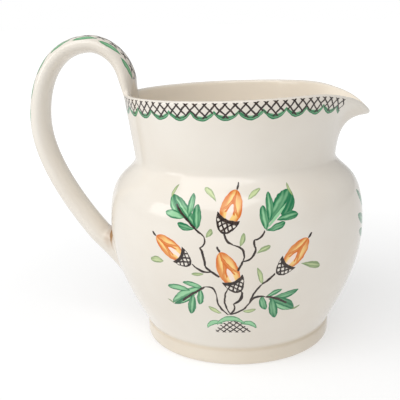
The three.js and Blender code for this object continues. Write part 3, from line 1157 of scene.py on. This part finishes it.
def border_group():
    group, given, result = new_group("rim border", [("Round", "Float"), ("Down", "Float")],
                                     [("Green", "Float"), ("Dark", "Float"), ("Tone", "Float")])
    round_way = given["Round"]
    down = given["Down"]
    bare = math.radians(BARE_SPOUT) * RIM_RADIUS
    painted = ramp(group, calc(group, "ABSOLUTE", round_way), bare - 0.3, bare + 0.3)
    share = calc(group, "FRACT", calc(group, "MULTIPLY_ADD", round_way, 1 / SCALLOP_PITCH, 50.3))
    off = calc(group, "MULTIPLY_ADD", share, 2.0, -1.0)
    arch = calc(group, "SUBTRACT", 1.0, calc(group, "POWER", calc(group, "ABSOLUTE", off), 2.2))
    line = calc(group, "MULTIPLY_ADD", arch, SCALLOP_DROP, SCALLOP_TOP)
    off_line = calc(group, "SUBTRACT", down, line)
    thick = calc(group, "MULTIPLY_ADD", arch, 0.25, SCALLOP_HALF)
    depth = calc(group, "SUBTRACT", thick, calc(group, "ABSOLUTE", off_line))
    green = ramp(group, depth, 0.0, SOFT_EDGE)
    join(group, result["Green"], calc(group, "MULTIPLY", green, painted))
    inner = calc(group, "MULTIPLY", calc(group, "SINE", calc(group, "MULTIPLY", off_line, 5.0)), 0.3)
    join(group, result["Tone"], calc(group, "MULTIPLY_ADD", share, 0.35, inner))
    lines = hatching(group, round_way, down, TRELLIS_SPACING, 0.95, 0.6)
    below_top = ramp(group, down, TRELLIS_TOP - 0.2, TRELLIS_TOP + 0.2)
    above_line = ramp(group, off_line, 0.3, -0.1)
    shown = calc(group, "MULTIPLY", below_top, above_line)
    dark = calc(group, "MULTIPLY", lines, calc(group, "MULTIPLY", shown, painted))
    join(group, result["Dark"], dark)
    return group


MOUND_PLACE = (-2.8, 23.2)
MOUND_HALF = 12.0
MOUND_HEIGHT = 8.4
MOUND_ARCS = [
    stroke((-19.0, 25.8), (-8.6, 29.8), 1.7, bow=2.2, fullness=0.4, light=1.9),
    stroke((2.4, 29.6), (12.6, 26.0), 1.7, bow=2.0, fullness=0.4, light=1.7),
    stroke((-12.4, 28.6), (5.4, 29.0), 1.9, bow=4.6, fullness=0.4, light=1.8),
]

SPRIG_LOBES = [
    # how far from the sprig's middle each lobe reaches, and the heights of its root and its tip
    (23, 64, 69, 2.7),
    (25.5, 70, 79, 3.0),
    (20, 77, 92, 2.7),
]
SPRIG = [stroke((SPRIG_SHIFT, 82.0), (SPRIG_SHIFT, 101.0), 3.0, lean=1.2, light=1.0)]
for reach, root, end, half_width in SPRIG_LOBES:
    for way in (1, -1):
        SPRIG.append(stroke((SPRIG_SHIFT + way, root), (SPRIG_SHIFT + way * reach, end), half_width,
                            bow=-way, lean=1.3, light=0.9 + 0.2 * way))
SPRIG_TWIG = twig(0.7, (SPRIG_SHIFT, 54.0), (SPRIG_SHIFT + 1.2, 66.0), (SPRIG_SHIFT, 88.0))

CHAIN_HALF = 4.3
CHAIN_NARROWS = 12        # how long the chain takes to narrow to its end
DAB_PITCH = 14.0
DAB_OFF = 6.5             # of a dab's middle from the middle of the strap
DAB_HALF = 1.5
STRAP_PAINT = (-3, 95)    # where the paint on the strap begins and ends, along it


def strap_group():
    group, given, result = new_group("handle paint", [("Across", "Float"), ("Along", "Float")],
                                     [("Green", "Float"), ("Dark", "Float"), ("Tone", "Float")])
    across = given["Across"]
    along = given["Along"]
    begun = ramp(group, along, STRAP_PAINT[0], STRAP_PAINT[0] + 0.5)
    ended = ramp(group, along, STRAP_PAINT[1], STRAP_PAINT[1] - 0.5)
    painted = calc(group, "MULTIPLY", begun, ended)
    off = calc(group, "ABSOLUTE", across)
    pitches = calc(group, "MULTIPLY_ADD", along, 1 / DAB_PITCH, -STRAP_PAINT[0] / DAB_PITCH)
    share = calc(group, "FRACT", pitches)
    rest = calc(group, "SUBTRACT", 1.0, share)
    bulge = calc(group, "MULTIPLY", calc(group, "MULTIPLY", share, rest), 4.0)
    half = calc(group, "MULTIPLY", bulge, DAB_HALF)
    leaning = calc(group, "MULTIPLY_ADD", share, 1.6, DAB_OFF - 0.8)
    off_dab = calc(group, "ABSOLUTE", calc(group, "SUBTRACT", off, leaning))
    depth = calc(group, "SUBTRACT", half, off_dab)
    dab = ramp(group, depth, 0.0, SOFT_EDGE)
    join(group, result["Green"], calc(group, "MULTIPLY", dab, painted))
    join(group, result["Tone"], calc(group, "MULTIPLY", depth, 0.6))
    lines = hatching(group, across, along, 5.6, 0.8, 0.6)
    narrowing = ramp(group, along, STRAP_PAINT[1], STRAP_PAINT[1] - CHAIN_NARROWS)
    narrowed = calc(group, "MULTIPLY", narrowing, CHAIN_HALF)
    inner = ramp(group, calc(group, "SUBTRACT", off, narrowed), 0.1, -0.1)
    shown = calc(group, "MULTIPLY", inner, painted)
    join(group, result["Dark"], calc(group, "MULTIPLY", lines, shown))
    return group


rim_border = border_group()
handle_paint = strap_group()
print("strokes of the mound and the front sprig:", len(MOUND_ARCS), len(SPRIG) + len(SPRIG_TWIG))

# %% [markdown]
# ## Glaze
# The body is cream clay under a clear, slightly creamy gloss. The groove above the foot and the foot
# itself are tinted warmer and darker as painted shade, the crease where the handle meets the belly is
# browned as painted shade with some gathered glaze, and the inside is given a warmer cream as painted
# shading of the hollow. The underside was wiped clean and shows dry clay. Pigments lie under the gloss:
# they change the colour and nothing else.

# %% Glaze material
CREAM = colour(233, 227, 217)
CREAM_THICK = colour(228, 220, 208)
# painted shading of the hollow: the inside is given a warmer cream than the outside
HOLLOW_PAINTED_SHADING = colour(240, 229, 212)
# painted shade: a warm tint for the groove above the foot and for the foot
WARM_SHADE = colour(214, 190, 150)
# painted shade with some gathered glaze: the brown laid into the handle's joins
POOL_AND_SHADE_BROWN = colour(158, 118, 74)
DRY_CLAY = colour(205, 186, 156)
GREEN_DARK = colour(28, 116, 74)
GREEN_LIGHT = colour(152, 208, 160)
LEAFLET_DARK = colour(98, 134, 66)
LEAFLET_LIGHT = colour(196, 214, 150)
ORANGE_DEEP = colour(216, 112, 34)
ORANGE_PALE = colour(250, 212, 134)
LINE_DARK = colour(38, 28, 24)
LINE_THIN = colour(76, 60, 50)
NUT_GAP = colour(247, 226, 212)
LEAFLET_COVER = 0.85      # leaflets are painted thinner than the rest
# the brown under the handle's join is painted shade with some gathered glaze, laid as a stroke as seen
# from the side
CREASE_POOL_SHADE_STROKE = stroke((-76.6, 69.5), (-73.2, 49.5), 2.5, light=1.8)
CREASE_POOL_SHADE_SIDE = (0.0125, 0.0105)   # metres from the middle where it ends, and where it is full
# how strongly the painted shade browns the crease and the corners
CREASE_POOL_SHADE_BROWN = 1.1
POOL_SHADE_BROWN = 0.35
GROOVE_SHADE_REACH = (0.0022, 0.0004)  # metres above and below the groove: no painted shade, full painted shade
GROOVE_SHADE = 0.15
FOOT_SHADE = 0.28
GLOSS = 0.12              # roughness of the glaze, and of dry clay
DRY = 0.7


def wobble(tree, place, amount, scale):
    """Shifts a place a little, as an unsteady hand does."""
    node = tree.nodes.new("ShaderNodeTexNoise")
    join(tree, node.inputs["Vector"], place)
    node.inputs["Scale"].default_value = scale
    node.inputs["Detail"].default_value = 1
    centred = tree.nodes.new("ShaderNodeVectorMath")
    centred.operation = "SUBTRACT"
    join(tree, centred.inputs[0], node.outputs["Color"])
    centred.inputs[1].default_value = (0.5, 0.5, 0.5)
    moved = tree.nodes.new("ShaderNodeVectorMath")
    moved.operation = "MULTIPLY_ADD"
    join(tree, moved.inputs[0], centred.outputs[0])
    moved.inputs[1].default_value = (amount, amount, 0)
    join(tree, moved.inputs[2], place)
    return moved.outputs[0]


def mesh_mark(tree, name):
    """A number written on the vertices."""
    node = tree.nodes.new("ShaderNodeAttribute")
    node.attribute_name = name
    return node.outputs["Fac"]


def thrown_surface(tree, place):
    """The faint rings that fingers leave on a turning wall, as a bumped normal."""
    squeezed = tree.nodes.new("ShaderNodeMapping")
    join(tree, squeezed.inputs["Vector"], place)
    squeezed.inputs["Scale"].default_value = (4, 4, 260)
    bump = tree.nodes.new("ShaderNodeBump")
    bump.inputs["Strength"].default_value = 0.25
    bump.inputs["Distance"].default_value = 0.0002
    join(tree, bump.inputs["Height"], noise(tree, squeezed.outputs[0], 1.0, 2))
    return bump.outputs[0]


def make_glaze():
    material = bpy.data.materials.new("painted glaze")
    material.use_nodes = True
    tree = material.node_tree
    shader = tree.nodes["Principled BSDF"]
    coordinates = tree.nodes.new("ShaderNodeTexCoord")
    place = coordinates.outputs["Object"]
    z = part(tree, place, (0, 0, 1))

    cloud = noise(tree, place, 22, 3)
    base = blend(tree, ramp(tree, cloud, 0.3, 0.75), CREAM, CREAM_THICK)
    # painted shading of the hollow: the inside of the wall gets a warmer cream than the outside
    base = blend(tree, ramp(tree, mesh_mark(tree, "inner"), 0.0, 1.0), base, HOLLOW_PAINTED_SHADING)
    # painted shade with some gathered glaze: the corners under the handle's ends are browned where shade
    # falls
    corner = ramp(tree, mesh_mark(tree, "pool_shade"), 0.2, 1.0)

    spray_place = wobble(tree, chart(tree, "spray"), 0.9, 0.35)
    round_way = part(tree, spray_place, (1, 0, 0))
    height = part(tree, spray_place, (0, 1, 0))
    spray_place = {"Round": round_way, "Up": height}
    cover, tone = paint(tree, spray_place, OAK_LEAVES + MOUND_ARCS + SPRIG)
    painted = blend(tree, cover, base, blend(tree, tone, GREEN_DARK, GREEN_LIGHT))
    cover, tone = paint(tree, spray_place, LEAFLETS)
    thin_cover = calc(tree, "MULTIPLY", cover, LEAFLET_COVER)
    pigment = blend(tree, tone, LEAFLET_DARK, LEAFLET_LIGHT)
    painted = blend(tree, thin_cover, painted, pigment)
    cover, tone = paint(tree, spray_place, NUTS)
    painted = blend(tree, cover, painted, blend(tree, tone, ORANGE_DEEP, ORANGE_PALE))
    cover, _ = paint(tree, spray_place, NUT_GAPS)
    painted = blend(tree, cover, painted, NUT_GAP)
    lines, _ = paint(tree, spray_place, TWIGS + STYLES + SPRIG_TWIG)
    cups = 0.0
    for tip, mouth, half_width in ACORNS:
        away = Vector(mouth) - Vector(tip)
        lines, cups = place_group(tree, acorn_cup, {
            "Lines": lines,
            "Inside": cups,
            **spray_place,
            **ruler(mouth, away, 1, 1),
            "Half Width": half_width,
        })
    painted = blend(tree, cups, painted, base)
    mound_side = calc(tree, "DIVIDE", calc(tree, "SUBTRACT", round_way, MOUND_PLACE[0]), MOUND_HALF)
    mound_up = calc(tree, "DIVIDE", calc(tree, "SUBTRACT", height, MOUND_PLACE[1]), MOUND_HEIGHT)
    spread = calc(tree, "MULTIPLY_ADD", mound_side, mound_side, calc(tree, "ABSOLUTE", mound_up))
    mound = ramp(tree, spread, 1.02, 0.96)
    mound = calc(tree, "MULTIPLY", mound, ramp(tree, mound_up, -0.06, 0.0))
    hatch = hatching(tree, round_way, height, 4.2, 1.25, 0.58)
    lines = calc(tree, "MAXIMUM", lines, calc(tree, "MULTIPLY", hatch, mound))

    band_place = wobble(tree, chart(tree, "band"), 1.0, 0.3)
    border = place_group(tree, rim_border, {"Round": part(tree, band_place, (1, 0, 0)),
                                            "Down": part(tree, band_place, (0, 1, 0))})
    strap_place = wobble(tree, chart(tree, "strap"), 0.8, 0.3)
    handle = place_group(tree, handle_paint, {"Across": part(tree, strap_place, (1, 0, 0)),
                                              "Along": part(tree, strap_place, (0, 1, 0))})
    for made in (border, handle):
        pigment = blend(tree, made["Tone"], GREEN_DARK, GREEN_LIGHT)
        painted = blend(tree, made["Green"], painted, pigment)
        lines = calc(tree, "MAXIMUM", lines, made["Dark"])
    thin = noise(tree, place, 900, 1)
    ink = blend(tree, ramp(tree, thin, 0.45, 0.75), LINE_DARK, LINE_THIN)
    painted = blend(tree, lines, painted, ink)

    side_place = {"Round": calc(tree, "MULTIPLY", part(tree, place, (1, 0, 0)), 1 / MM),
                  "Up": calc(tree, "MULTIPLY", z, 1 / MM)}
    # painted shade with some gathered glaze: a brown stroke down the crease where the handle meets the
    # belly
    crease, depth = paint(tree, side_place, [CREASE_POOL_SHADE_STROKE])
    beside = ramp(tree, calc(tree, "ABSOLUTE", part(tree, place, (0, 1, 0))), *CREASE_POOL_SHADE_SIDE)
    browned_and_shaded = calc(tree, "MULTIPLY", calc(tree, "MULTIPLY", crease, depth), beside)
    pool_and_shade_in_crease = calc(tree, "MULTIPLY", browned_and_shaded, CREASE_POOL_SHADE_BROWN)
    pool_and_shade_in_corner = calc(tree, "MULTIPLY", corner, POOL_SHADE_BROWN)
    browned_and_shaded = calc(tree, "MAXIMUM", pool_and_shade_in_crease, pool_and_shade_in_corner)
    pool_and_shade = blend(tree, browned_and_shaded, painted, POOL_AND_SHADE_BROWN)
    # painted shade: the groove above the foot and the foot itself are tinted warmer and darker
    from_groove = calc(tree, "ABSOLUTE", calc(tree, "SUBTRACT", z, FOOT_HEIGHT * MM))
    groove = ramp(tree, from_groove, *GROOVE_SHADE_REACH)
    foot = ramp(tree, z, (FOOT_HEIGHT + 1) * MM, (FOOT_HEIGHT - 1) * MM)
    warm_shade = calc(tree, "MULTIPLY_ADD", groove, GROOVE_SHADE, calc(tree, "MULTIPLY", foot, FOOT_SHADE))
    shaded = blend(tree, warm_shade, pool_and_shade, WARM_SHADE)
    under = ramp(tree, z, 0.0006, 0.0002)
    join(tree, shader.inputs["Base Color"], blend(tree, under, shaded, DRY_CLAY))
    join(tree, shader.inputs["Roughness"], blend_value(tree, under, GLOSS, DRY))
    shader.inputs["IOR"].default_value = 1.5
    join(tree, shader.inputs["Normal"], thrown_surface(tree, place))
    return material


glaze = make_glaze()
mesh.materials.append(glaze)
print("glaze nodes:", len(glaze.node_tree.nodes))

# %% [markdown]
# ## Floor and light
# The pitcher stands on white paper. The paper is burnt out to white far from the pitcher and
# keeps its contact shadow near it, so the camera sees a lift that grows with the distance. The
# lift shows to the camera alone and lights nothing.

# %% Paper floor
PAPER_GLOW = 0.5          # light that the paper gives off, as paper lit from all round does
PAPER_LIFT = 0.34         # more of it for the camera, which sees the paper burnt out to white
PAPER_NEAR = 0.08         # metres from the pitcher's middle where that begins, and is full
PAPER_FAR = 0.7
PAPER_HALF = 30           # metres
floor_mesh = bpy.data.meshes.new("floor")
floor_bm = bmesh.new()
bmesh.ops.create_grid(floor_bm, x_segments=1, y_segments=1, size=PAPER_HALF)
floor_bm.to_mesh(floor_mesh)
floor_bm.free()
floor = bpy.data.objects.new("floor", floor_mesh)
bpy.context.collection.objects.link(floor)
paper = bpy.data.materials.new("white paper")
paper.use_nodes = True
paper_shader = paper.node_tree.nodes["Principled BSDF"]
paper_shader.inputs["Base Color"].default_value = (0.5, 0.5, 0.5, 1)
paper_shader.inputs["Roughness"].default_value = 1
paper_shader.inputs["Emission Color"].default_value = (1, 1, 1, 1)
paper_shader.inputs["Emission Strength"].default_value = PAPER_GLOW
desk = paper.node_tree
seen_paper = desk.nodes.new("ShaderNodeLightPath")
on_paper = desk.nodes.new("ShaderNodeTexCoord")
away = desk.nodes.new("ShaderNodeVectorMath")
away.operation = "LENGTH"
join(desk, away.inputs[0], on_paper.outputs["Object"])
growing = ramp(desk, away.outputs["Value"], PAPER_NEAR, PAPER_FAR)
lift = desk.nodes.new("ShaderNodeEmission")
strength = calc(desk, "MULTIPLY", growing, PAPER_LIFT)
shown_lift = calc(desk, "MULTIPLY", seen_paper.outputs["Is Camera Ray"], strength)
join(desk, lift.inputs["Strength"], shown_lift)
both = desk.nodes.new("ShaderNodeAddShader")
join(desk, both.inputs[0], paper_shader.outputs[0])
join(desk, both.inputs[1], lift.outputs[0])
join(desk, desk.nodes["Material Output"].inputs["Surface"], both.outputs[0])
floor_mesh.materials.append(paper)
print("floor:", [round(side, 1) for side in floor.dimensions], "m")

# %% [markdown]
# The room is a white tent. It lights the pitcher from all round with a low even light, and the
# camera sees its wall as white.

# %% White room
SKY = 0.47                # light from all round
WALL_SEEN = 1.0           # how bright the camera sees the wall behind
world = bpy.data.worlds.new("studio")
bpy.context.scene.world = world
world.use_nodes = True
studio = world.node_tree
studio.nodes["Background"].inputs["Strength"].default_value = SKY
white_wall = studio.nodes.new("ShaderNodeBackground")
white_wall.inputs["Color"].default_value = (1, 1, 1, 1)
white_wall.inputs["Strength"].default_value = WALL_SEEN
seen = studio.nodes.new("ShaderNodeLightPath")
choice = studio.nodes.new("ShaderNodeMixShader")
studio.nodes["Background"].inputs["Color"].default_value = (1, 1, 1, 1)
join(studio, choice.inputs[0], seen.outputs["Is Camera Ray"])
join(studio, choice.inputs[1], studio.nodes["Background"].outputs[0])
join(studio, choice.inputs[2], white_wall.outputs[0])
join(studio, studio.nodes["World Output"].inputs["Surface"], choice.outputs[0])
bpy.context.scene.view_settings.view_transform = "Standard"
print("light from all round:", SKY, "and the wall as seen:", WALL_SEEN)

# %% [markdown]
# Two softboxes give the glaze its highlights: a large one high in front, and a small one low on
# the left. Both face a place inside the pitcher.

# %% Softboxes
LIT_PLACE = (0, 0, 0.08)


def softbox(name, place, size, watts):
    """A rectangular lamp at a place in metres, which faces the pitcher."""
    light = bpy.data.lights.new(name, "AREA")
    light.shape = "RECTANGLE"
    light.size, light.size_y = size
    light.energy = watts
    lamp = bpy.data.objects.new(name, light)
    bpy.context.collection.objects.link(lamp)
    lamp.location = place
    lamp.rotation_euler = (Vector(LIT_PLACE) - Vector(place)).to_track_quat("-Z", "Y").to_euler()


softbox("key", (-0.3, -0.62, 1.12), (1.4, 1.0), 10.2)
softbox("left", (-1.3, -0.6, 0.6), (0.6, 0.6), 3)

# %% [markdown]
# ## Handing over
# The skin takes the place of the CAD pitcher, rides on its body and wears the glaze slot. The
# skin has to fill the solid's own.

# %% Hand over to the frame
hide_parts("pitcher")
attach(skin, "root")
